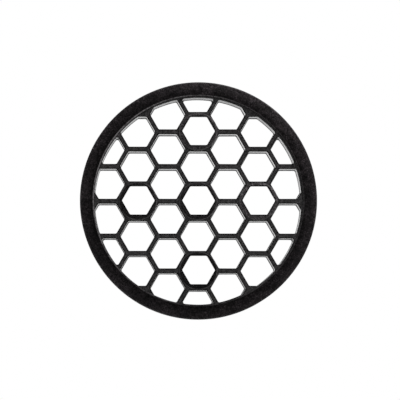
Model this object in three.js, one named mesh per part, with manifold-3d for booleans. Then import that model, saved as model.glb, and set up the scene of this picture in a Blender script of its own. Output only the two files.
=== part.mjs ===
// Honeycomb grid: a round grid disc for a flash or lamp head.
//
// How it goes together: a moulded honeycomb core drops into an L-section
// frame ring from behind until its rim meets the front lip. A flat
// retaining ring closes the back. Five flanged hex bushes plug into the core
// from the front, one in the centre cell and one in each of the four cells
// two rows or two columns away from it.
//
// Millimetres. +Z is up. The disc stands upright: its axis is Y, its front
// face looks along -Y, and the origin is the middle of the disc. The pieces
// are modelled lying down, with local +Z to the front and local +Y up the
// finished disc, and the whole disc is turned upright at the end.
import * as THREE from "three";
import { mergeVertices } from "three/addons/utils/BufferGeometryUtils.js";
import Module from "manifold-3d";

// ---- rings ----------------------------------------------------------------
const OUTER_R = 35; // outside radius of the frame ring
const OPENING_R = 30.95; // inside radius of the front lip and the retaining ring
const TOTAL_DEPTH = 11; // front lip face to back face
const LIP_DEPTH = 1.2;
const FRAME_WALL = 1.5; // side wall of the frame ring
const FRAME_CHAMFER = 0.35; // on the frame's outside edges
const BACK_RING_DEPTH = 1.2;
const BACK_RING_CHAMFER = 0.2; // on its inner back edge
const FIT = 0.08; // clearance between two pieces that fit together

// ---- honeycomb core ---------------------------------------------------------
// Each front and back pair is the size at that face of the web, tapering evenly.
const CELL_RINGS = 3; // rings of cells round the centre cell
const CELL_PITCH = 10.275; // distance between neighbouring cell centres
const CELL_FLATS = { front: 9.06, back: 8.66 }; // across flats of a plain cell
const SOCKET_FLATS = { front: 9.2, back: 9.5 }; // across flats of a cell with a bush
const RIM_INNER_R = { front: 30.6, back: 30.4 };
const HEX_CORNER_R = 0.55; // sets the cut corners of every hexagon, bushes too
const CORE_OVERRUN = 0.5; // the core's cutters run this far past both faces

// ---- hex bushes ---------------------------------------------------------------
const FLANGE_R = 5.6;
const FLANGE_DEPTH = 0.9;
const SKIRT_FLATS = 9.02; // outside across flats of the hexagonal skirt
const SKIRT_DEPTH = 2.4; // how far it reaches behind the flange
const BORE_FLATS = 8.34;
const BORE_SHIFT = { x: 0.08, y: 0.12 }; // the bores sit a little off the cell centre
const BORE_OVERRUN = 1; // the bore cutter runs this far past both ends

// Names of the bushes by the column and slant row of their cell.
const BUSH_NAMES = new Map([
  ["0,0", "hex_bush_centre"],
  ["0,2", "hex_bush_upper"],
  ["0,-2", "hex_bush_lower"],
  ["-2,1", "hex_bush_left"],
  ["2,-1", "hex_bush_right"],
]);

// ---- steps round a circle -------------------------------------------------------
const RING_SEGMENTS = 96;
const FLANGE_SEGMENTS = 48;

// ---- derived: depths are local z --------------------------------------------------
const FRONT = TOTAL_DEPTH / 2;
const BACK = -TOTAL_DEPTH / 2;
const LIP_BACK = FRONT - LIP_DEPTH;
const BACK_RING_FRONT = BACK + BACK_RING_DEPTH - FIT / 2;
const WEB_FRONT = LIP_BACK - FIT / 2;
const WEB_BACK = BACK + BACK_RING_DEPTH + FIT / 2;
const FRAME_INNER_R = OUTER_R - FRAME_WALL;
const CORE_OUTER_R = FRAME_INNER_R - FIT;

const wasm = await Module();
wasm.setup();

// ---- three.js geometry to solid and back --------------------------------------------
// Normals and texture coordinates go first, as they would keep seams unmerged.
function toSolid(geometry) {
  geometry.deleteAttribute("normal");
  geometry.deleteAttribute("uv");
  const merged = mergeVertices(geometry, 1e-4);
  const mesh = new wasm.Mesh({
    numProp: 3,
    vertProperties: new Float32Array(merged.attributes.position.array),
    triVerts: new Uint32Array(merged.index.array),
  });
  return new wasm.Manifold(mesh);
}

function toGeometry(solid) {
  const mesh = solid.getMesh();
  const positions = new Float32Array(mesh.vertProperties);
  const geometry = new THREE.BufferGeometry();
  geometry.setAttribute("position", new THREE.BufferAttribute(positions, 3));
  geometry.setIndex(new THREE.BufferAttribute(new Uint32Array(mesh.triVerts), 1));
  geometry.computeVertexNormals();
  return geometry;
}

// ---- shapes -----------------------------------------------------------------------
// A turned piece. Profile points are [radius, z], and they run down the inside
// and up the outside so that the faces point outwards.
function turned(profile) {
  const points = [...profile, profile[0]].map(([radius, z]) => new THREE.Vector2(radius, z));
  const lathe = new THREE.LatheGeometry(points, RING_SEGMENTS);
  lathe.rotateX(Math.PI / 2); // the lathe's own axis, Y, becomes Z
  return toSolid(lathe);
}

// A hexagon with two flats level. Each corner is cut straight across, between
// the points where a round of HEX_CORNER_R would meet the flats.
function hexagon(flats) {
  const roundCentre = (flats / 2 - HEX_CORNER_R) / Math.cos(Math.PI / 6);
  const points = [];
  for (let i = 0; i < 6; i++) {
    const angle = (i * Math.PI) / 3;
    for (const turn of [-Math.PI / 6, Math.PI / 6]) {
      const x = roundCentre * Math.cos(angle) + HEX_CORNER_R * Math.cos(angle + turn);
      const y = roundCentre * Math.sin(angle) + HEX_CORNER_R * Math.sin(angle + turn);
      points.push([x, y]);
    }
  }
  const shape = new THREE.Shape();
  shape.moveTo(...points[0]);
  for (const point of points.slice(1)) shape.lineTo(...point);
  shape.closePath();
  return shape;
}

// A hexagonal prism centred on x, y, whose across-flats size changes evenly
// from flats.front at zFront to flats.back at zBack.
function hexPrism({ flats, zFront, zBack, x, y }) {
  const depth = zFront - zBack;
  const prism = new THREE.ExtrudeGeometry(hexagon(flats.front), {
    depth,
    bevelEnabled: false,
    steps: 1,
  });
  const corners = prism.attributes.position;
  for (let i = 0; i < corners.count; i++) {
    const frontShare = corners.getZ(i) / depth; // 0 at the back, 1 at the front
    const scale = frontShare + ((1 - frontShare) * flats.back) / flats.front;
    corners.setXYZ(
      i,
      corners.getX(i) * scale + x,
      corners.getY(i) * scale + y,
      corners.getZ(i) + zBack,
    );
  }
  return toSolid(prism);
}

// A round plug on the axis, whose radius changes evenly between two depths.
function roundPlug({ radius, zFront, zBack, segments = RING_SEGMENTS }) {
  const plug = new THREE.CylinderGeometry(radius.front, radius.back, zFront - zBack, segments);
  plug.rotateX(Math.PI / 2);
  plug.translate(0, 0, (zFront + zBack) / 2);
  return toSolid(plug);
}

// The same size at both ends, for a shape without taper.
const straight = (size) => ({ front: size, back: size });

// ---- where the cells are --------------------------------------------------------------
// Columns stand CELL_PITCH * cos 30 apart. Each is half a pitch up from the last.
function layOutCells() {
  const cells = [];
  for (let column = -CELL_RINGS; column <= CELL_RINGS; column++) {
    for (let row = -CELL_RINGS; row <= CELL_RINGS; row++) {
      if (Math.abs(column + row) > CELL_RINGS) continue;
      cells.push({
        x: column * CELL_PITCH * Math.cos(Math.PI / 6),
        y: (row + column / 2) * CELL_PITCH,
        bushName: BUSH_NAMES.get(`${column},${row}`), // undefined for a plain cell
      });
    }
  }
  return cells;
}

// ---- frame ring: side wall and front lip in one piece -----------------------------------
function makeFrameRing() {
  return turned([
    [OPENING_R, FRONT],
    [OPENING_R, LIP_BACK],
    [FRAME_INNER_R, LIP_BACK],
    [FRAME_INNER_R, BACK],
    [OUTER_R - FRAME_CHAMFER, BACK],
    [OUTER_R, BACK + FRAME_CHAMFER],
    [OUTER_R, FRONT - FRAME_CHAMFER],
    [OUTER_R - FRAME_CHAMFER, FRONT],
  ]);
}

// ---- honeycomb core: rim and web moulded together -----------------------------------------
function makeCore(cells) {
  const zFront = WEB_FRONT + CORE_OVERRUN;
  const zBack = WEB_BACK - CORE_OVERRUN;

  // A taper between the web's faces, carried on to the ends of the cutters.
  const extended = ({ front, back }) => {
    const sizeAt = (z) => back + ((front - back) * (z - WEB_BACK)) / (WEB_FRONT - WEB_BACK);
    return { front: sizeAt(zFront), back: sizeAt(zBack) };
  };

  const openings = cells
    .map(({ x, y, bushName }) => {
      const flats = extended(bushName ? SOCKET_FLATS : CELL_FLATS);
      return hexPrism({ flats, zFront, zBack, x, y });
    })
    .reduce((joined, opening) => joined.add(opening));
  const insideRim = roundPlug({ radius: extended(RIM_INNER_R), zFront, zBack });
  const blank = roundPlug({
    radius: straight(CORE_OUTER_R),
    zFront: WEB_FRONT,
    zBack: WEB_BACK,
  });
  return blank.subtract(openings.intersect(insideRim));
}

// ---- retaining ring: flat, behind the core's rim --------------------------------------------
function makeRetainingRing() {
  return turned([
    [OPENING_R, BACK_RING_FRONT],
    [OPENING_R, BACK + BACK_RING_CHAMFER],
    [OPENING_R + BACK_RING_CHAMFER, BACK],
    [CORE_OUTER_R, BACK],
    [CORE_OUTER_R, BACK_RING_FRONT],
  ]);
}

// ---- hex bush: round flange in front of the web, hexagonal skirt in the cell -----------------
function makeBush({ x, y }) {
  const flangeBack = WEB_FRONT + FIT;
  const flangeFront = flangeBack + FLANGE_DEPTH;
  const skirtBack = flangeBack - SKIRT_DEPTH;

  const flange = roundPlug({
    radius: straight(FLANGE_R),
    zFront: flangeFront,
    zBack: flangeBack,
    segments: FLANGE_SEGMENTS,
  }).translate([x, y, 0]);
  const skirt = hexPrism({
    flats: straight(SKIRT_FLATS),
    zFront: flangeBack + FLANGE_DEPTH / 2, // halfway into the flange, so the two join
    zBack: skirtBack,
    x,
    y,
  });
  const bore = hexPrism({
    flats: straight(BORE_FLATS),
    zFront: flangeFront + BORE_OVERRUN,
    zBack: skirtBack - BORE_OVERRUN,
    x: x + BORE_SHIFT.x,
    y: y + BORE_SHIFT.y,
  });
  return flange.add(skirt).subtract(bore);
}

// ---- materials: near-black, each piece with its own copy ----------------------------------------
const framePaint = () =>
  new THREE.MeshStandardMaterial({ color: 0x141213, roughness: 0.5, metalness: 0 });
const corePlastic = () =>
  new THREE.MeshStandardMaterial({ color: 0x1c1b1c, roughness: 0.42, metalness: 0 });
const bushPlastic = () =>
  new THREE.MeshStandardMaterial({ color: 0x131213, roughness: 0.55, metalness: 0 });

// ---- assembly -----------------------------------------------------------------------------------
function piece(name, solid, material) {
  const mesh = new THREE.Mesh(toGeometry(solid), material);
  mesh.name = name;
  return mesh;
}

const cells = layOutCells();
const disc = new THREE.Group();
disc.rotation.x = Math.PI / 2; // local +Z, the front, turns to look along -Y
disc.add(piece("frame_ring", makeFrameRing(), framePaint()));
disc.add(piece("honeycomb_core", makeCore(cells), corePlastic()));
disc.add(piece("retaining_ring", makeRetainingRing(), framePaint()));
for (const cell of cells) {
  if (cell.bushName) disc.add(piece(cell.bushName, makeBush(cell), bushPlastic()));
}

const grid = new THREE.Group();
grid.name = "honeycomb_grid";
grid.add(disc);
export default grid;
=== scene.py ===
"""An upright black disc: a round frame ring holding a honeycomb core, with five
flanged hexagonal bushes in the core and a retaining ring.

The disc's axis lies along Y and its front faces -Y. Meshes are made in
millimetres in the disc's own directions: u to the right, v up, w towards the
front. They become the frame's directions at the end: x = u, y = -w, z = v.
"""

import math

import bpy
import numpy as np
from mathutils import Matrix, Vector
from mathutils.geometry import delaunay_2d_cdt


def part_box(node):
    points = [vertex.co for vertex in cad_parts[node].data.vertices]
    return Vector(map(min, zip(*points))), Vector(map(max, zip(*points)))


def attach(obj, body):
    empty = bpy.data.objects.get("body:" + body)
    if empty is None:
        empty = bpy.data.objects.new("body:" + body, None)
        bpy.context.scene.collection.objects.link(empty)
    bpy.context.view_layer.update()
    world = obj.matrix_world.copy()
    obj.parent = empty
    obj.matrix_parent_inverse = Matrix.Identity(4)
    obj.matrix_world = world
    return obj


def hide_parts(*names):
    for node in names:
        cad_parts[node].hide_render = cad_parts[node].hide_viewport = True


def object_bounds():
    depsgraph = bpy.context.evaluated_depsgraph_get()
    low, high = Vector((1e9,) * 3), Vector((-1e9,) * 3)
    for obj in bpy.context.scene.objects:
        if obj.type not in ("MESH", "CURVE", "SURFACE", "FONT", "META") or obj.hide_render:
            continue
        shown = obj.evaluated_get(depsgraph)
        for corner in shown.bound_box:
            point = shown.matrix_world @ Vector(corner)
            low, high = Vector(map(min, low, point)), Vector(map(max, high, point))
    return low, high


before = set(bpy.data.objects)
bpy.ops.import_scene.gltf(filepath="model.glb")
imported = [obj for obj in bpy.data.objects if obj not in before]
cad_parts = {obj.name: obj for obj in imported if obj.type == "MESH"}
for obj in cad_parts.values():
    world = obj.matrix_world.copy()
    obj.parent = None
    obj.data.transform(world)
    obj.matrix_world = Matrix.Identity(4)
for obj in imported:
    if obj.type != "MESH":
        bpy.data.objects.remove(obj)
cad_lo, cad_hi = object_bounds()

MM = 0.001
QUARTER = math.pi / 2


def depths(node):
    """(front w, back w) of a CAD node in millimetres."""
    lo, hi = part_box(node)
    return -lo.y / MM, -hi.y / MM


def outer_radius(node):
    lo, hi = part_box(node)
    return (hi.x - lo.x) / 2 / MM


# ---------------------------------------------------------------------------
# driving dimensions, in millimetres
# ---------------------------------------------------------------------------
FRONT, BACK = depths("frame_ring")
WEB_FRONT, WEB_BACK = depths("honeycomb_core")
RETAINER_FRONT, RETAINER_BACK = depths("retaining_ring")
BUSH_FRONT, BUSH_END = depths("hex_bush_centre")
OUTER_R = outer_radius("frame_ring")
CORE_R = outer_radius("honeycomb_core")

# frame ring
LIP_R = 30.89  # inside radius of the front lip, and of the retaining ring
LIP_DEPTH = 1.2
FRAME_WALL = 1.5
CROWN_START_R, CROWN_END_R = 31.3, 34.68  # where the front face is curved
CROWN_DROP = 0.34

# honeycomb
PITCH = 10.275
# distance from a cell's centre to its sides at 30, 90 ... 330 degrees, front and back
CELL = (
    np.array([4.435, 4.375, 4.54, 4.555, 4.45, 4.51]),
    np.array([4.28, 4.22, 4.34, 4.33, 4.27, 4.3]),
)
SOCKET = (np.full(6, 4.6), np.full(6, 4.75))  # the same for the cells that hold bushes
RIM = (30.57, 30.42)  # inside radius of the core's rim, front and back
RIM_DRAFT = 0.3  # share of the rim's narrowing that comes before the cell lip
CELL_LIP_TOP, CELL_LIP_FOOT = 0.66, 0.4  # heights of a cell's inner lip above the back face
CELL_LIP_STEP = 0.17  # width that sets the slope of the lip's normals
CORNER_R = 0.55
LATTICE_SHIFT = np.array([-0.17, -0.13])  # the honeycomb sits a little off the ring's centre
CELL_FRONT_ROUND, CELL_BACK_ROUND = 0.11, 0.12
RIM_ROUND = 0.2
RIM_LAND = 0.3  # flat left beside the rim's rounded outer edges

# bushes
BORE_FLATS = 8.44
SKIRT_FLATS = 9.02
FLANGE_R = 5.7
FLANGE_THICKNESS = 0.9
FLANGE_ROUND, FLANGE_DROP = 0.22, 0.12
FLANGE_TILT = 0.3  # radians the flange's face leans at its outer edge
BORE_ROUND, END_ROUND, SEAT_ROUND = 0.16, 0.06, 0.08
BUSH_SHIFT = np.array([-0.04, -0.02])
BORE_SHIFT = np.array([0.04, 0.08])
FLANGE_SHIFT = np.array([-0.1, -0.2])
NO_RIM = 1e4  # a rim radius too large to cut a hexagon

# node: lattice column q, lattice row r, painted light and shade factor on the tone, how much
# painted shade darkens the lower side
BUSHES = {
    "hex_bush_centre": (0, 0, 0.85, 1.0),
    "hex_bush_upper": (0, 2, 2.2, 0.25),
    "hex_bush_lower": (0, -2, 0.42, 1.0),
    "hex_bush_left": (-2, 1, 0.95, 0.9),
    "hex_bush_right": (2, -1, 2.4, 0.3),
}
SOCKETS = {(q, r) for q, r, _, _ in BUSHES.values()}


# ---------------------------------------------------------------------------
# mesh building
# ---------------------------------------------------------------------------
# Point attributes read by the materials, with their defaults: edge wear with painted highlights,
# painted shade, smooth glossy walls, plain untextured colour, painted light and shade as a factor
# on the tone.
MARKS = {"wear": 0.0, "shade": 0.0, "slick": 0.0, "calm": 0.0, "tint": 1.0}


class MeshBuilder:
    """Vertices with their true normals, and faces turned to agree with them."""

    def __init__(self):
        self.points, self.normals, self.faces = [], [], []
        self.marks = {label: [] for label in MARKS}

    def add(self, points, normals, **marks):
        """Add vertices and return the index of the first."""
        start = len(self.points)
        points = np.asarray(points, float)
        normals = np.broadcast_to(np.asarray(normals, float), points.shape)
        length = np.linalg.norm(normals, axis=1, keepdims=True)
        self.points.extend(points)
        self.normals.extend(normals / np.maximum(length, 1e-9))
        for label, default in MARKS.items():
            value = marks.get(label, default)
            self.marks[label].extend(np.broadcast_to(value, len(points)))
        return start

    def face(self, ids):
        p = [self.points[i] for i in ids]
        if len(ids) == 4:
            face_normal = np.cross(p[2] - p[0], p[3] - p[1])
        else:
            face_normal = np.cross(p[1] - p[0], p[2] - p[0])
        if np.dot(face_normal, sum(self.normals[i] for i in ids)) < 0:
            ids = tuple(reversed(ids))
        self.faces.append(tuple(ids))

    def bridge(self, a, b, count):
        """Quads between two closed loops that start at a and b."""
        for i in range(count):
            j = (i + 1) % count
            self.face((a + i, a + j, b + j, b + i))

    def bridge_closed(self, starts, count):
        """Bridge each loop to the next, and the last to the first."""
        for k, start in enumerate(starts):
            self.bridge(start, starts[(k + 1) % len(starts)], count)

    def finish(self, name):
        points = np.array(self.points)
        normals = np.array(self.normals)
        world = np.stack([points[:, 0], -points[:, 2], points[:, 1]], axis=1) * MM
        world_normals = np.stack([normals[:, 0], -normals[:, 2], normals[:, 1]], axis=1)
        mesh = bpy.data.meshes.new(name)
        mesh.from_pydata(world.tolist(), [], self.faces)
        mesh.update()
        for label, values in self.marks.items():
            layer = mesh.attributes.new(label, "FLOAT", "POINT")
            layer.data.foreach_set("value", np.array(values, np.float32))
        mesh.shade_smooth()
        mesh.normals_split_custom_set_from_vertices(world_normals.tolist())
        return link_object(name, mesh)


def link_object(name, data):
    obj = bpy.data.objects.new(name, data)
    bpy.context.scene.collection.objects.link(obj)
    return obj


def direction(angle):
    return np.array([math.cos(angle), math.sin(angle)])


def sweep(steps, total=QUARTER):
    """Angles from 0 to total in equal steps."""
    return [total * k / steps for k in range(steps + 1)]


def lift(flat_points, w):
    return np.column_stack([flat_points, np.full(len(flat_points), w)])


def ring_normals(directions, outward, front):
    """Normals from flat outward directions and a share towards the front."""
    return np.column_stack([directions * outward, np.full(len(directions), front)])


def circle(radius, count):
    """Points of a circle and their outward directions."""
    t = np.linspace(0, 2 * math.pi, count, endpoint=False)
    directions = np.column_stack([np.cos(t), np.sin(t)])
    return directions * radius, directions


def bell(turn, centre, width):
    """1 at the centre angle, fading to 0 either side; all in degrees."""
    return np.exp(-((((turn - centre + 180) % 360 - 180) / width) ** 2))


def triangulate(outer, holes):
    """Triangles between one outer loop and many holes, as indices into outer + holes."""
    points, edges, owner = [], [], []
    for k, loop in enumerate([outer] + holes):
        start = len(points)
        points += [Vector((float(p[0]), float(p[1]))) for p in loop]
        edges += [(start + i, start + (i + 1) % len(loop)) for i in range(len(loop))]
        owner += [k] * len(loop)
    _, _, triangles, origins, _, _ = delaunay_2d_cdt(points, edges, [], 0, 1e-7)
    if not all(origins):
        raise RuntimeError("two outlines cross")
    made = []
    for triangle in triangles:
        ids = tuple(origins[i][0] for i in triangle)
        owners = {owner[i] for i in ids}
        inside_hole = len(owners) == 1 and 0 not in owners
        if not inside_hole:
            made.append(ids)
    return made


def outline(centre, reach, rim, rounding, corner=6, side=5, arc=10):
    """One cell's opening: a hexagon whose sides stand reach[i] from its centre,
    cut by the rim's circle, with every corner rounded. corner, side and arc are
    the segment counts. Returns a function of the growth that gives the points
    and outward normals, so loops at any depth and growth match up."""
    angles = [math.radians(30 + 60 * i) for i in range(6)]
    sides = [direction(angle) for angle in angles]
    corners = [
        np.asarray(centre, float)
        + np.linalg.solve(
            np.array([sides[i - 1], sides[i]]), [reach[i - 1] - rounding, reach[i] - rounding]
        )
        for i in range(6)
    ]
    limit = rim - rounding

    # the part of each side that lies within the circle: start, end, normal's angle
    lines = []
    for i, angle in enumerate(angles):
        p, q = corners[i], corners[(i + 1) % 6]
        along = q - p
        a, b, c = along @ along, 2 * (p @ along), p @ p - limit * limit
        discriminant = b * b - 4 * a * c
        t0, t1 = 0.0, 1.0
        if discriminant <= 0:
            if c > 0:
                continue
        else:
            root = math.sqrt(discriminant)
            t0, t1 = max(0.0, (-b - root) / 2 / a), min(1.0, (-b + root) / 2 / a)
            if t1 - t0 < 1e-6:
                continue
        lines.append((p + t0 * along, p + t1 * along, angle))

    # start (None for an arc of the circle), end, normal's angle at start and at end
    pieces = []
    for k, (start, end, angle) in enumerate(lines):
        pieces.append((start, end, angle, angle))
        following = lines[(k + 1) % len(lines)][0]
        if np.linalg.norm(following - end) > 1e-6:  # the circle closes this gap
            a0 = math.atan2(end[1], end[0])
            a1 = math.atan2(following[1], following[0])
            while a1 < a0:
                a1 += 2 * math.pi
            pieces.append((None, limit * direction(a1), a0, a1))

    def at(growth):
        out = rounding + growth
        points, normals = [], []
        for k, (start, end, a0, a1) in enumerate(pieces):
            if start is not None:
                for j in range(1, side + 1):
                    n = direction(a0)
                    points.append(start + (end - start) * (j / (side + 1)) + out * n)
                    normals.append(n)
            else:
                for j in range(1, arc + 1):
                    n = direction(a0 + (a1 - a0) * j / (arc + 1))
                    points.append((limit + out) * n)
                    normals.append(n)
            next_angle = pieces[(k + 1) % len(pieces)][2]
            while next_angle < a1:
                next_angle += 2 * math.pi
            while next_angle - a1 > math.pi:
                next_angle -= 2 * math.pi
            for j in range(corner + 1):
                n = direction(a1 + (next_angle - a1) * j / corner)
                points.append(end + out * n)
                normals.append(n)
        return np.array(points), np.array(normals)

    return at


def rounded_profile(corners, steps=4, margin=0.22):
    """Stations (point, normal, wear and highlight, painted shade) of a closed profile in (radius,
    w), from corners (radius, w, rounding, wear and highlight, painted shade) that go anticlockwise
    about the material. A corner without rounding is a point of a smooth curve, and
    only such points carry painted shade. Flats get an extra station within the margin."""
    stations = []
    for i, (radius, w, rounding, wear, shade) in enumerate(corners):
        p = np.array([radius, w], float)
        before = np.array(corners[i - 1][:2], float)
        after = np.array(corners[(i + 1) % len(corners)][:2], float)
        d0 = (p - before) / np.linalg.norm(p - before)
        d1 = (after - p) / np.linalg.norm(after - p)
        n0 = np.array([d0[1], -d0[0]])
        n1 = np.array([d1[1], -d1[0]])
        if rounding == 0:
            stations.append((p, (n0 + n1) / np.linalg.norm(n0 + n1), wear, shade))
            continue
        convex = d0[0] * d1[1] - d0[1] * d1[0] > 0
        half = math.acos(max(-1, min(1, d0 @ d1))) / 2
        cut = rounding * math.tan(half)
        start, end = p - d0 * cut, p + d1 * cut
        centre = start - n0 * rounding if convex else start + n0 * rounding
        if convex:
            room = np.linalg.norm(p - before) - cut
            stations.append((start - d0 * min(margin, room * 0.45), n0, 0.0, 0.0))
        along = d0 if convex else -d0
        for k in range(steps + 1):
            t = k / steps
            n = n0 * math.cos(t * 2 * half) + along * math.sin(t * 2 * half)
            point = centre + (n if convex else -n) * rounding
            stations.append((point, n, wear if convex else 0.0, 0.0))
        if convex:
            room = np.linalg.norm(after - p) - cut
            stations.append((end + d1 * min(margin, room * 0.45), n1, 0.0, 0.0))
    return stations


def lathe(build, corners, count):
    starts = []
    for point, normal, wear, shade in rounded_profile(corners):
        circle_points, directions = circle(point[0], count)
        starts.append(
            build.add(
                lift(circle_points, point[1]),
                ring_normals(directions, normal[0], normal[1]),
                wear=wear,
                shade=shade,
                calm=0.55 * abs(normal[0]),  # walls are plainer
            )
        )
    build.bridge_closed(starts, count)


# ---------------------------------------------------------------------------
# honeycomb core
# ---------------------------------------------------------------------------
def back_share(w, socket, draft=0.0):
    """How far an opening has changed from its front size (0) to its back size (1)."""
    depth = WEB_FRONT - WEB_BACK
    up = w - WEB_BACK
    if socket:
        return 1 - up / depth
    if up >= CELL_LIP_TOP:
        return draft * (depth - up) / (depth - CELL_LIP_TOP)
    if up <= CELL_LIP_FOOT:
        return 1.0
    return 1 - (1 - draft) * (up - CELL_LIP_FOOT) / (CELL_LIP_TOP - CELL_LIP_FOOT)


def cell_stations(socket):
    """Loops down one opening, front to back:
    (w, growth, turn of the normal from the front, wear, painted shade, slick, calm)."""
    e = CELL_FRONT_ROUND
    stations = [
        (WEB_FRONT, e + 0.3, 0.0, 0.0, 0.0, 0.0, 0.0),
        # painted shade begins on the face beside the front edge
        (WEB_FRONT, e + 0.12, 0.0, 0.0, 0.45, 0.0, 0.3),
    ]
    for t in sweep(4):  # rounded front edge, in painted shade
        w, growth = WEB_FRONT - e * (1 - math.cos(t)), e * (1 - math.sin(t))
        stations.append((w, growth, t, 0.0, 0.95, 0.0, 1.0))

    def wall(w, turn=QUARTER, slick=1.0):
        stations.append((w, 0.0, turn, 0.0, 0.0, slick, 1.0))

    top = WEB_FRONT - e
    wall(top - 0.2)
    if socket:
        foot = WEB_BACK + CELL_BACK_ROUND
        for k in range(1, 5):
            wall(top + (foot - top) * k / 5)
        wall(foot + 0.25)
    else:
        foot = WEB_BACK + CELL_LIP_TOP
        for k in range(1, 6):
            wall(top - 0.2 + (foot - top + 0.4) * k / 6)
        slope = QUARTER - math.atan2(CELL_LIP_STEP, CELL_LIP_TOP - CELL_LIP_FOOT)
        wall(foot + 0.05, slick=0.9)
        wall(foot - 0.03, turn=slope, slick=0.8)
        wall(WEB_BACK + CELL_LIP_FOOT + 0.03, turn=slope, slick=0.8)
        wall(WEB_BACK + CELL_LIP_FOOT - 0.06, slick=0.9)

    e = CELL_BACK_ROUND
    for t in sweep(3):  # rounded back edge
        w, growth = WEB_BACK + e * (1 - math.sin(t)), e * (1 - math.cos(t))
        stations.append((w, growth, QUARTER + t, 0.6, 0.0, 0.3, 0.6))
    stations.append((WEB_BACK, e + 0.16, math.pi, 0.0, 0.0, 0.0, 0.0))
    return stations


def add_cell(build, q, r, rng):
    """Walls of one opening. Returns (start, flat points) of its front and back loops."""
    centre = (q * PITCH * math.cos(math.pi / 6), (r + q / 2) * PITCH)
    socket = (q, r) in SOCKETS
    size = SOCKET if socket else CELL
    shift = BUSH_SHIFT if socket else LATTICE_SHIFT
    jitter = rng.uniform(-0.008, 0.008)
    wave_phase = rng.uniform(0, 2 * math.pi, 3)
    wave_height = rng.uniform(0.003, 0.009, 3)

    def shape(w, growth):
        reach = size[0] + (size[1] - size[0]) * back_share(w, socket) + jitter
        rim = RIM[0] + (RIM[1] - RIM[0]) * back_share(w, socket, RIM_DRAFT)
        points, normals = outline(centre, reach, rim, CORNER_R)(growth)
        t = np.linspace(0, 2 * math.pi, len(points), endpoint=False)
        wave = sum(
            height * np.sin((j + 2) * t + phase + 0.35 * w * (j - 1))
            for j, (height, phase) in enumerate(zip(wave_height, wave_phase))
        )
        return points + shift + normals * wave[:, None], normals

    loops = []
    for w, growth, turn, wear, shade, slick, calm in cell_stations(socket):
        points, directions = shape(w, growth)
        near_rim = np.hypot(*(points - shift).T) > RIM[0] - 0.25
        if shade:  # painted shade is weaker on the narrow land beside the ring, so it stays as light as the webs
            shade = np.where(near_rim, shade * 0.1, shade)
        if slick > 0.7:  # and the rim's own wall is a little duller
            slick = np.where(near_rim, slick * 0.75, slick * 1.06)
        start = build.add(
            lift(points, w),
            ring_normals(directions, -math.sin(turn), math.cos(turn)),
            wear=wear,
            shade=shade,
            slick=slick,
            calm=calm,
            # painted light on the web beside the ring, against the shadow of the frame's lip
            tint=np.where(near_rim, 1.75, 1.0),
        )
        if loops:
            build.bridge(loops[-1][0], start, len(points))
        loops.append((start, points))
    return loops[0], loops[-1]


def add_core_rim(build, count):
    """Outside of the rim. Returns the starts of its front and back loops."""
    e = RIM_ROUND
    land_r = CORE_R - e - RIM_LAND
    stations = [(WEB_FRONT, land_r, 0, 1, 0.0)]  # w, radius, normal outward and front, wear
    for t in sweep(3):
        s, c = math.sin(t), math.cos(t)
        stations.append((WEB_FRONT - e * (1 - c), CORE_R - e * (1 - s), s, c, 1.0))
    for t in sweep(3):
        s, c = math.sin(t), math.cos(t)
        stations.append((WEB_BACK + e * (1 - s), CORE_R - e * (1 - c), c, -s, 1.0))
    stations.append((WEB_BACK, land_r, 0, -1, 0.0))
    starts = []
    for w, radius, outward, front, wear in stations:
        points, directions = circle(radius, count)
        normals = ring_normals(directions, outward, front)
        # painted light on the rim, which spreads through its triangles onto the web beside the ring
        starts.append(build.add(lift(points, w), normals, wear=wear, tint=2.2))
    for a, b in zip(starts, starts[1:]):
        build.bridge(a, b, count)
    return starts[0], starts[-1]


def make_core(rim_count=288):
    build = MeshBuilder()
    rng = np.random.default_rng(20261116)
    cells = [(q, r) for q in range(-3, 4) for r in range(-3, 4) if abs(q + r) <= 3]
    ends = [add_cell(build, q, r, rng) for q, r in cells]
    rim_starts = add_core_rim(build, rim_count)
    rim_points, _ = circle(CORE_R - RIM_ROUND - RIM_LAND, rim_count)
    for loops, rim_start in zip(zip(*ends), rim_starts):  # front face, then back face
        table = list(range(rim_start, rim_start + rim_count))
        for start, points in loops:
            table += range(start, start + len(points))
        for triangle in triangulate(rim_points, [points for _, points in loops]):
            build.face(tuple(table[i] for i in triangle))
    return build.finish("core_web_and_rim")


# ---------------------------------------------------------------------------
# rings
# ---------------------------------------------------------------------------
def make_frame(count=360):
    build = MeshBuilder()
    inner = OUTER_R - FRAME_WALL
    turn = np.degrees(np.arange(count) / count * 2 * math.pi)
    # painted highlight along the inside edge of the lip, brightest on the left and dimmest at the
    # upper right
    painted_highlight = 0.3 + 1.6 * bell(turn, 160, 56)
    painted_highlight -= 0.16 * bell(turn, 40, 40)
    # radius, w, rounding, wear and painted highlight, painted shade
    corners = [
        (LIP_R, FRONT, 0.12, painted_highlight, 0.0),
        (LIP_R, FRONT - LIP_DEPTH, 0.08, 0.2, 0.0),
        (inner, FRONT - LIP_DEPTH, 0.1, 0.2, 0.0),
        (inner, BACK, 0.12, 0.2, 0.0),
        (OUTER_R, BACK, 0.35, 0.2, 0.0),
        (OUTER_R, FRONT - CROWN_DROP, 0.3, 0.16, 0.0),
    ]
    # painted shadow on the face just outside the lip
    crown_shade = {7: 0.1, 8: 0.3}
    for k in range(1, 9):  # the front face rises gently inwards from its outer edge
        t = k / 8
        radius = CROWN_END_R - (CROWN_END_R - CROWN_START_R) * t
        w = FRONT - CROWN_DROP * (1 - t) ** 2
        corners.append((radius, w, 0.0, 0.0, crown_shade.get(k, 0.0)))
    # painted highlight on the face beside the lip's edge
    corners.append((LIP_R + 0.24, FRONT, 0.0, painted_highlight, 0.0))
    lathe(build, corners, count)
    return build.finish("frame_ring_shell")


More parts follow.
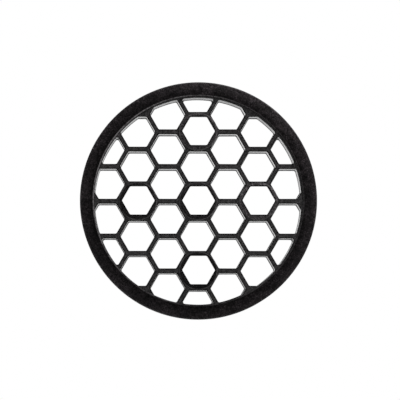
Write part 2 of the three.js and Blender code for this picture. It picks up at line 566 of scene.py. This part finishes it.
def make_retainer():
    build = MeshBuilder()
    corners = [  # radius, w, rounding, wear, shade
        (LIP_R, RETAINER_FRONT, 0.08, 0.2, 0.0),
        (LIP_R, RETAINER_BACK, 0.25, 0.2, 0.0),
        (CORE_R, RETAINER_BACK, 0.12, 0.2, 0.0),
        (CORE_R, RETAINER_FRONT, 0.08, 0.2, 0.0),
    ]
    lathe(build, corners, 300)
    return build.finish("retaining_ring_band")


# ---------------------------------------------------------------------------
# hex bushes
# ---------------------------------------------------------------------------
# loops across the flange's face: share of the way in, lean of the normal, painted highlight,
# painted shade
FLANGE_FACE = (
    (0.1, 0.26, 0.4, 0.4),
    (0.34, 0.2, 0.0, 0.75),
    (0.62, 0.1, 0.0, 0.35),
    (0.84, 0.02, 0.0, 0.4),
)


def bush_hexagon(centre, flats, rounding=CORNER_R):
    return outline(centre, [flats / 2] * 6, NO_RIM, rounding, corner=8, side=9)


def make_bush(name, q, r, tone, lower_shade):
    build = MeshBuilder()
    cell = np.array([q * PITCH * math.cos(math.pi / 6), (r + q / 2) * PITCH])
    flange_centre = cell + FLANGE_SHIFT
    seat = BUSH_FRONT - FLANGE_THICKNESS
    bore = bush_hexagon(cell + BORE_SHIFT, BORE_FLATS)
    skirt = bush_hexagon(cell + BUSH_SHIFT, SKIRT_FLATS)
    # the flange's round loops take their angles from a hexagon, to match the bore's
    hexagon, _ = bush_hexagon((0, 0), 2.0, rounding=0.1)(0)
    angle = np.arctan2(hexagon[:, 1], hexagon[:, 0])
    unit = np.column_stack([np.cos(angle), np.sin(angle)])
    low = np.clip(0.5 - 0.5 * (unit @ np.array([0.0, 1.0])), 0, 1)  # 1 on the lower side
    # painted highlight on the flange's edge, brightest at the bottom, with a dimmer patch at the
    # lower left
    painted_highlight = 0.14 + 0.86 * np.sqrt(low)
    painted_highlight = painted_highlight * (1 - 0.75 * lower_shade * bell(np.degrees(angle) % 360, 208, 20))
    starts = []

    def put(points, w, directions, outward, front, **marks):
        normals = ring_normals(directions, outward, front)
        starts.append(build.add(lift(points, w), normals, **marks))

    def put_hexagon(shape, growth, w, outward, front, **marks):
        points, directions = shape(growth)
        put(points, w, directions, outward, front, **marks)

    # rounded outside edge of the flange
    e = FLANGE_ROUND
    for t in sweep(5, QUARTER - FLANGE_TILT):
        points = flange_centre + unit * (FLANGE_R - e * (1 - math.cos(t)))
        w = BUSH_FRONT - FLANGE_DROP - e * (1 - math.sin(t))
        put(points, w, unit, math.cos(t), math.sin(t), wear=painted_highlight, calm=0.5)

    # its face, which falls away outwards, in painted shade beside the bore and mostly on the lower
    # side; tone scales each bush's face as painted light and shade
    face_w = BUSH_FRONT - FLANGE_DROP - e * (1 - math.cos(FLANGE_TILT))
    outside = flange_centre + unit * (FLANGE_R - e * (1 - math.sin(FLANGE_TILT)))
    inside, _ = bore(BORE_ROUND)
    for t, lean, wear, shade in FLANGE_FACE:
        beside_bore = t > 0.8
        put(
            outside + (inside - outside) * t,
            face_w + (BUSH_FRONT - face_w) * (1 - (1 - t) ** 2),
            unit,
            math.sin(lean),
            math.cos(lean),
            wear=wear * painted_highlight,
            shade=shade if beside_bore else shade * (0.15 + 0.85 * low) * lower_shade,
            calm=0.3 if beside_bore else 0.0,
            tint=tone,
        )

    # rounded front edge of the bore, then its wall, in painted shade that eases towards the back
    e = BORE_ROUND
    for t in sweep(4):
        s, c = math.sin(t), math.cos(t)
        put_hexagon(bore, e * (1 - s), BUSH_FRONT - e * (1 - c), -s, c, shade=1.0, calm=1.0)
    for w, shade, calm in (
        (BUSH_FRONT - e - 0.2, 1.0, 1.0),
        ((BUSH_FRONT + BUSH_END) / 2, 0.7, 0.6),
        (BUSH_END + 0.3, 0.5, 0.3),
    ):
        put_hexagon(bore, 0.0, w, -1.0, 0.0, shade=shade, calm=calm)

    # back end
    e = END_ROUND
    for t in sweep(2):
        s, c = math.sin(t), math.cos(t)
        put_hexagon(bore, e * (1 - c), BUSH_END + e * (1 - s), -c, -s, wear=0.3)
    for t in sweep(2):
        s, c = math.sin(t), math.cos(t)
        put_hexagon(skirt, -e * (1 - s), BUSH_END + e * (1 - c), s, -c, wear=0.3)

    # outside of the skirt, a small fillet, and the seat under the flange
    put_hexagon(skirt, 0.0, seat - 0.06, 1.0, 0.0)
    put_hexagon(skirt, 0.018, seat - 0.018, 0.7, -0.7)
    put_hexagon(skirt, 0.06, seat, 0.0, -1.0)
    e = SEAT_ROUND
    for t in sweep(3):
        s, c = math.sin(t), math.cos(t)
        put(flange_centre + unit * (FLANGE_R - e * (1 - s)), seat + e * (1 - c), unit, s, -c)
    build.bridge_closed(starts, len(unit))
    return build.finish(name)


core = make_core()
shell = make_frame()
retainer = make_retainer()
bushes = {
    node: make_bush(node.replace("hex_bush", "flanged_hex_bush"), *values)
    for node, values in BUSHES.items()
}


# ---------------------------------------------------------------------------
# materials
# ---------------------------------------------------------------------------
class Graph:
    """An emptied node tree of a material or world, with helpers to fill it."""

    def __init__(self, owner):
        owner.use_nodes = True
        self.tree = owner.node_tree
        self.tree.nodes.clear()

    def node(self, kind, inputs=None, **settings):
        """A node; each input is given a value or linked from a socket."""
        node = self.tree.nodes.new(kind)
        for key, value in settings.items():
            setattr(node, key, value)
        for key, value in (inputs or {}).items():
            if isinstance(value, bpy.types.NodeSocket):
                self.tree.links.new(value, node.inputs[key])
            else:
                node.inputs[key].default_value = value
        return node

    def noise(self, vector, scale, detail, roughness, distortion=0.0):
        inputs = {
            "Vector": vector,
            "Scale": scale,
            "Detail": detail,
            "Roughness": roughness,
            "Distortion": distortion,
        }
        return self.node("ShaderNodeTexNoise", inputs).outputs["Fac"]

    def ramp(self, value, span, result, interpolation="SMOOTHSTEP"):
        """Map value from the span (from, to) to the result (from, to)."""
        inputs = {
            "Value": value,
            "From Min": span[0],
            "From Max": span[1],
            "To Min": result[0],
            "To Max": result[1],
        }
        node = self.node("ShaderNodeMapRange", inputs, interpolation_type=interpolation)
        return node.outputs["Result"]

    def math(self, operation, *values):
        inputs = dict(enumerate(values))
        return self.node("ShaderNodeMath", inputs, operation=operation).outputs[0]

    def add(self, a, b):
        return self.math("ADD", a, b)

    def multiply(self, a, b):
        return self.math("MULTIPLY", a, b)

    def less(self, factor, amount=None):
        """1 - factor * amount, or 1 - factor without an amount."""
        if amount is not None:
            factor = self.multiply(factor, amount)
        return self.math("SUBTRACT", 1.0, factor)

    def attribute(self, label):
        return self.node("ShaderNodeAttribute", attribute_name=label).outputs["Fac"]

    def mix_shader(self, factor, first, second):
        inputs = {0: factor, 1: first.outputs[0], 2: second.outputs[0]}
        return self.node("ShaderNodeMixShader", inputs)


def disc_coordinates(graph, position):
    """Radius, and a vector that follows the turning direction round the disc."""
    xyz = graph.node("ShaderNodeSeparateXYZ", {0: position}).outputs
    x_squared = graph.multiply(xyz["X"], xyz["X"])
    z_squared = graph.multiply(xyz["Z"], xyz["Z"])
    radius = graph.math("SQRT", graph.add(x_squared, z_squared))
    angle = graph.math("ARCTAN2", xyz["Z"], xyz["X"])
    stretch = 0.0105  # metres per radian
    inputs = {"X": radius, "Y": graph.multiply(angle, stretch), "Z": xyz["Y"]}
    return radius, graph.node("ShaderNodeCombineXYZ", inputs).outputs[0]


def black_plastic(
    name,
    base,
    mottle,
    broad,
    fleck,
    rough,
    rough_spread,
    grain,
    specular,
    wear_and_highlight_colour,
    wear_and_highlight_amount,
    shade_depth=0.8,
    outward_painted_light=None,
    turned=0.0,
    blotch=None,
):
    """Moulded black plastic: mottled and flecked colour, uneven gloss, fine
    grain in the surface, edge wear with painted highlights, and an optional painted light that
    lifts the tone outwards.
    mottle, broad and blotch vary the tone by a spread, in features per metre.
    grain is the relief in metres; turned is the spread of the turning streaks."""
    material = bpy.data.materials.new(name)
    graph = Graph(material)
    ramp, add, multiply, less = graph.ramp, graph.add, graph.multiply, graph.less
    position = graph.node("ShaderNodeTexCoord").outputs["Object"]
    radius, turning = disc_coordinates(graph, position)
    patch_span = (0.3, 0.72)  # the noise values that patches and streaks use

    def around_one(spread):
        return 1 - spread, 1 + spread

    # tone: patches, wide drifts, flecks, blotches, painted light rising outwards, streaks
    patches = graph.noise(position, mottle["scale"], detail=6.0, roughness=0.68, distortion=0.5)
    wide = graph.noise(position, broad["scale"], detail=2.0, roughness=0.5)
    flecks = graph.noise(position, fleck["scale"], detail=2.0, roughness=0.6)
    tone = multiply(
        ramp(patches, patch_span, around_one(mottle["spread"])),
        ramp(wide, (0.32, 0.68), around_one(broad["spread"])),
    )
    fleck_span = (fleck["threshold"], fleck["threshold"] + 0.14)
    speck = ramp(flecks, fleck_span, (0.0, fleck["gain"]))
    tone = add(tone, multiply(speck, ramp(wide, (0.3, 0.6), (0.45, 1.0))))
    if blotch:
        blotches = graph.noise(
            position, blotch["scale"], detail=2.0, roughness=0.5, distortion=0.4
        )
        tone = multiply(tone, ramp(blotches, (0.36, 0.64), around_one(blotch["spread"])))
    if outward_painted_light:
        tone = multiply(tone, ramp(radius, outward_painted_light["span"], outward_painted_light["tone"]))
    streaks = None
    if turned:
        streaks = graph.noise(turning, 1700.0, detail=4.0, roughness=0.7)
        tone = multiply(tone, ramp(streaks, patch_span, around_one(turned)))

    # the mesh's marks: calm flattens the tone, painted light and shade scale it, painted shade
    # darkens it
    calm = graph.attribute("calm")
    lively = less(calm)
    tone = add(calm, multiply(tone, lively))
    tone = multiply(tone, graph.attribute("tint"))
    light = less(graph.attribute("shade"), shade_depth)
    tone = multiply(tone, light)
    colour = graph.node(
        "ShaderNodeVectorMath", operation="SCALE", inputs={0: base, "Scale": tone}
    ).outputs[0]

    # edge wear and painted highlights, broken up by noise
    wear = graph.attribute("wear")
    breakup = graph.noise(position, 1100.0, detail=4.0, roughness=0.65)
    worn_and_highlit = multiply(multiply(wear, ramp(breakup, (0.36, 0.62), (0.25, 1.0))), wear_and_highlight_amount)
    # the mix node's colour sockets: inputs 6 and 7, output 2
    colour = graph.node(
        "ShaderNodeMix", data_type="RGBA", inputs={0: worn_and_highlit, 6: colour, 7: (*wear_and_highlight_colour, 1.0)}
    ).outputs[2]

    # roughness: lower on worn and highlit edges, and much lower on slick walls
    roughness = ramp(patches, (0.25, 0.75), (rough + rough_spread, rough - rough_spread))
    roughness = graph.math("SUBTRACT", roughness, multiply(worn_and_highlit, 0.08))
    slick = graph.attribute("slick")
    roughness = multiply(roughness, less(slick, 0.58))

    # gloss: follows the patches at 0.8 of their spread, dimmed under painted shade and inwards with
    # the outward painted light, more on slick walls
    gloss_range = (specular * (1 - mottle["spread"] * 0.8), specular * (1 + mottle["spread"] * 0.8))
    gloss = multiply(ramp(patches, patch_span, gloss_range), light)
    gloss = multiply(gloss, add(1.0, multiply(slick, 0.5)))
    if outward_painted_light:
        gloss = multiply(gloss, ramp(radius, outward_painted_light["span"], (0.6, 1.0)))

    # relief: fine grain, patches, flecks and streaks, smoother where slick or calm
    fine = graph.noise(position, 2600.0, detail=3.0, roughness=0.6)
    height = multiply(fine, grain)
    height = add(height, multiply(patches, grain * 2.2))
    height = add(height, multiply(flecks, grain * 1.2))
    if streaks is not None:
        height = add(height, multiply(streaks, grain * 1.2))
    height = multiply(height, less(slick, 0.8))
    height = multiply(height, less(calm, 0.5))
    bump = graph.node("ShaderNodeBump", {"Strength": 1.0, "Distance": 1.0, "Height": height})

    inputs = {
        "Base Color": colour,
        "Roughness": roughness,
        "Specular IOR Level": gloss,
        "Normal": bump.outputs[0],
    }
    surface = graph.node("ShaderNodeBsdfPrincipled", inputs)
    graph.node("ShaderNodeOutputMaterial", {0: surface.outputs[0]})
    return material


frame_black = black_plastic(
    "frame_black_satin",
    base=(0.0112, 0.0094, 0.0103),
    mottle=dict(scale=1500.0, spread=0.7),
    broad=dict(scale=150.0, spread=0.3),
    fleck=dict(scale=3000.0, threshold=0.52, gain=3.0),
    rough=0.5,
    rough_spread=0.08,
    grain=0.000022,
    specular=0.12,
    wear_and_highlight_colour=(0.3, 0.288, 0.293),
    wear_and_highlight_amount=0.85,
    outward_painted_light=dict(span=(0.0316, 0.0346), tone=(0.6, 1.35)),  # painted light rising towards the outer edge; span in metres
    turned=0.25,
    blotch=dict(scale=600.0, spread=0.38),
)
core_black = black_plastic(
    "core_black_moulded",
    base=(0.0108, 0.0098, 0.0103),
    mottle=dict(scale=1400.0, spread=0.8),
    broad=dict(scale=90.0, spread=0.25),
    fleck=dict(scale=2500.0, threshold=0.53, gain=4.5),
    rough=0.36,
    rough_spread=0.07,
    grain=0.000014,
    specular=0.45,
    wear_and_highlight_colour=(0.05, 0.048, 0.05),
    wear_and_highlight_amount=0.4,
    shade_depth=0.95,
)
bush_black = black_plastic(
    "bush_black_matt",
    base=(0.019, 0.0175, 0.0182),
    mottle=dict(scale=1300.0, spread=0.65),
    broad=dict(scale=70.0, spread=0.4),
    fleck=dict(scale=2600.0, threshold=0.52, gain=3.2),
    rough=0.5,
    rough_spread=0.1,
    grain=0.00002,
    specular=0.15,
    wear_and_highlight_colour=(0.2, 0.194, 0.198),
    wear_and_highlight_amount=0.95,
    shade_depth=0.9,
)

pieces = [
    (core, "honeycomb_core", core_black, "core_black"),
    (shell, "frame_ring", frame_black, "frame_black"),
    (retainer, "retaining_ring", frame_black, "frame_black"),
]
pieces += [(bush, node, bush_black, "bush_black") for node, bush in bushes.items()]
for piece, node, material, slot in pieces:
    piece.data.materials.append(material)
    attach(piece, "root")
    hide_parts(node)


# ---------------------------------------------------------------------------
# floor, light and camera, in metres
# ---------------------------------------------------------------------------
def floor_material():
    material = bpy.data.materials.new("pale_floor")
    graph = Graph(material)
    inputs = {
        "Base Color": (0.9, 0.9, 0.9, 1),
        "Roughness": 0.75,
        "Specular IOR Level": 0.2,
        "Emission Color": (1, 1, 1, 1),
        "Emission Strength": 0.28,
    }
    pale = graph.node("ShaderNodeBsdfPrincipled", inputs)
    # sends little soft light up at the object
    dull = graph.node("ShaderNodeBsdfDiffuse", {"Color": (0.3, 0.3, 0.3, 1)})
    path = graph.node("ShaderNodeLightPath")
    seen = graph.mix_shader(path.outputs["Is Diffuse Ray"], pale, dull)
    # the floor can't be seen from underneath
    clear = graph.node("ShaderNodeBsdfTransparent")
    geometry = graph.node("ShaderNodeNewGeometry")
    surface = graph.mix_shader(geometry.outputs["Backfacing"], seen, clear)
    graph.node("ShaderNodeOutputMaterial", {0: surface.outputs[0]})
    return material


def make_floor(size=2.4, n=24):
    """A level square of n by n quads under the disc."""
    verts = [
        ((i / n - 0.5) * size, (j / n - 0.5) * size, cad_lo.z)
        for i in range(n + 1)
        for j in range(n + 1)
    ]
    corners = [i * (n + 1) + j for i in range(n) for j in range(n)]
    faces = [(a, a + n + 1, a + n + 2, a + 1) for a in corners]
    mesh = bpy.data.meshes.new("floor")
    mesh.from_pydata(verts, [], faces)
    mesh.update()
    floor = link_object("floor", mesh)
    mesh.materials.append(floor_material())


def make_world():
    """White to the camera; light from behind, from above and a little from the front."""
    world = bpy.data.worlds.new("white_studio")
    bpy.context.scene.world = world
    graph = Graph(world)
    white = (1, 1, 1, 1)
    backdrop = graph.node("ShaderNodeBackground", {"Color": white, "Strength": 1.0})
    coord = graph.node("ShaderNodeTexCoord")
    xyz = graph.node("ShaderNodeSeparateXYZ", {0: coord.outputs["Generated"]}).outputs
    behind = graph.ramp(xyz["Y"], span=(0.15, 0.9), result=(0.05, 1.0))
    front = graph.ramp(xyz["Y"], span=(-0.82, -0.985), result=(0.0, 0.3))
    above = graph.ramp(xyz["Z"], span=(-0.2, 1.0), result=(0.0, 0.3), interpolation="LINEAR")
    strength = graph.add(graph.add(behind, above), front)
    light = graph.node("ShaderNodeBackground", {"Color": white, "Strength": strength})
    path = graph.node("ShaderNodeLightPath")
    surface = graph.mix_shader(path.outputs["Is Camera Ray"], light, backdrop)
    graph.node("ShaderNodeOutputWorld", {0: surface.outputs[0]})


def make_softbox(name, location, target, size, power, colour):
    data = bpy.data.lights.new(name, "AREA")
    data.shape = "DISK"
    data.size = size
    data.energy = power
    data.color = colour
    light = link_object(name, data)
    light.location = location
    light.rotation_mode = "QUATERNION"
    towards = Vector(target) - Vector(location)
    light.rotation_quaternion = towards.to_track_quat("-Z", "Y")
    light.visible_camera = False


def make_camera():
    """A long lens straight at the disc, a little below and left of its axis."""
    distance = 1.14
    view_width = 0.117974214  # width seen at the aim point
    azimuth = math.radians(-0.9)
    elevation = math.radians(-2.6)
    aim = Vector((0.000424, -FRONT * MM, 0.000137))
    back = Vector(
        (
            math.sin(azimuth) * math.cos(elevation),
            -math.cos(azimuth) * math.cos(elevation),
            math.sin(elevation),
        )
    )
    data = bpy.data.cameras.new("camera")
    camera = link_object("camera", data)
    camera.location = aim + back * distance
    camera.rotation_mode = "QUATERNION"
    camera.rotation_quaternion = (-back).to_track_quat("-Z", "Y")
    data.sensor_width = 36.0
    data.lens = 36.0 * distance / view_width
    data.clip_start = 0.05
    data.clip_end = 20.0
    bpy.context.scene.camera = camera


make_floor()
make_world()
make_softbox(  # to the right, in front and above
    "key_softbox",
    location=(0.06, -0.08, 0.12),
    target=(0.0, 0.0, 0.0),
    size=0.07,
    power=0.145,
    colour=(1.0, 0.985, 0.99),
)
make_camera()

bpy.context.scene.view_settings.view_transform = "Standard"
bpy.context.scene.view_settings.look = "None"
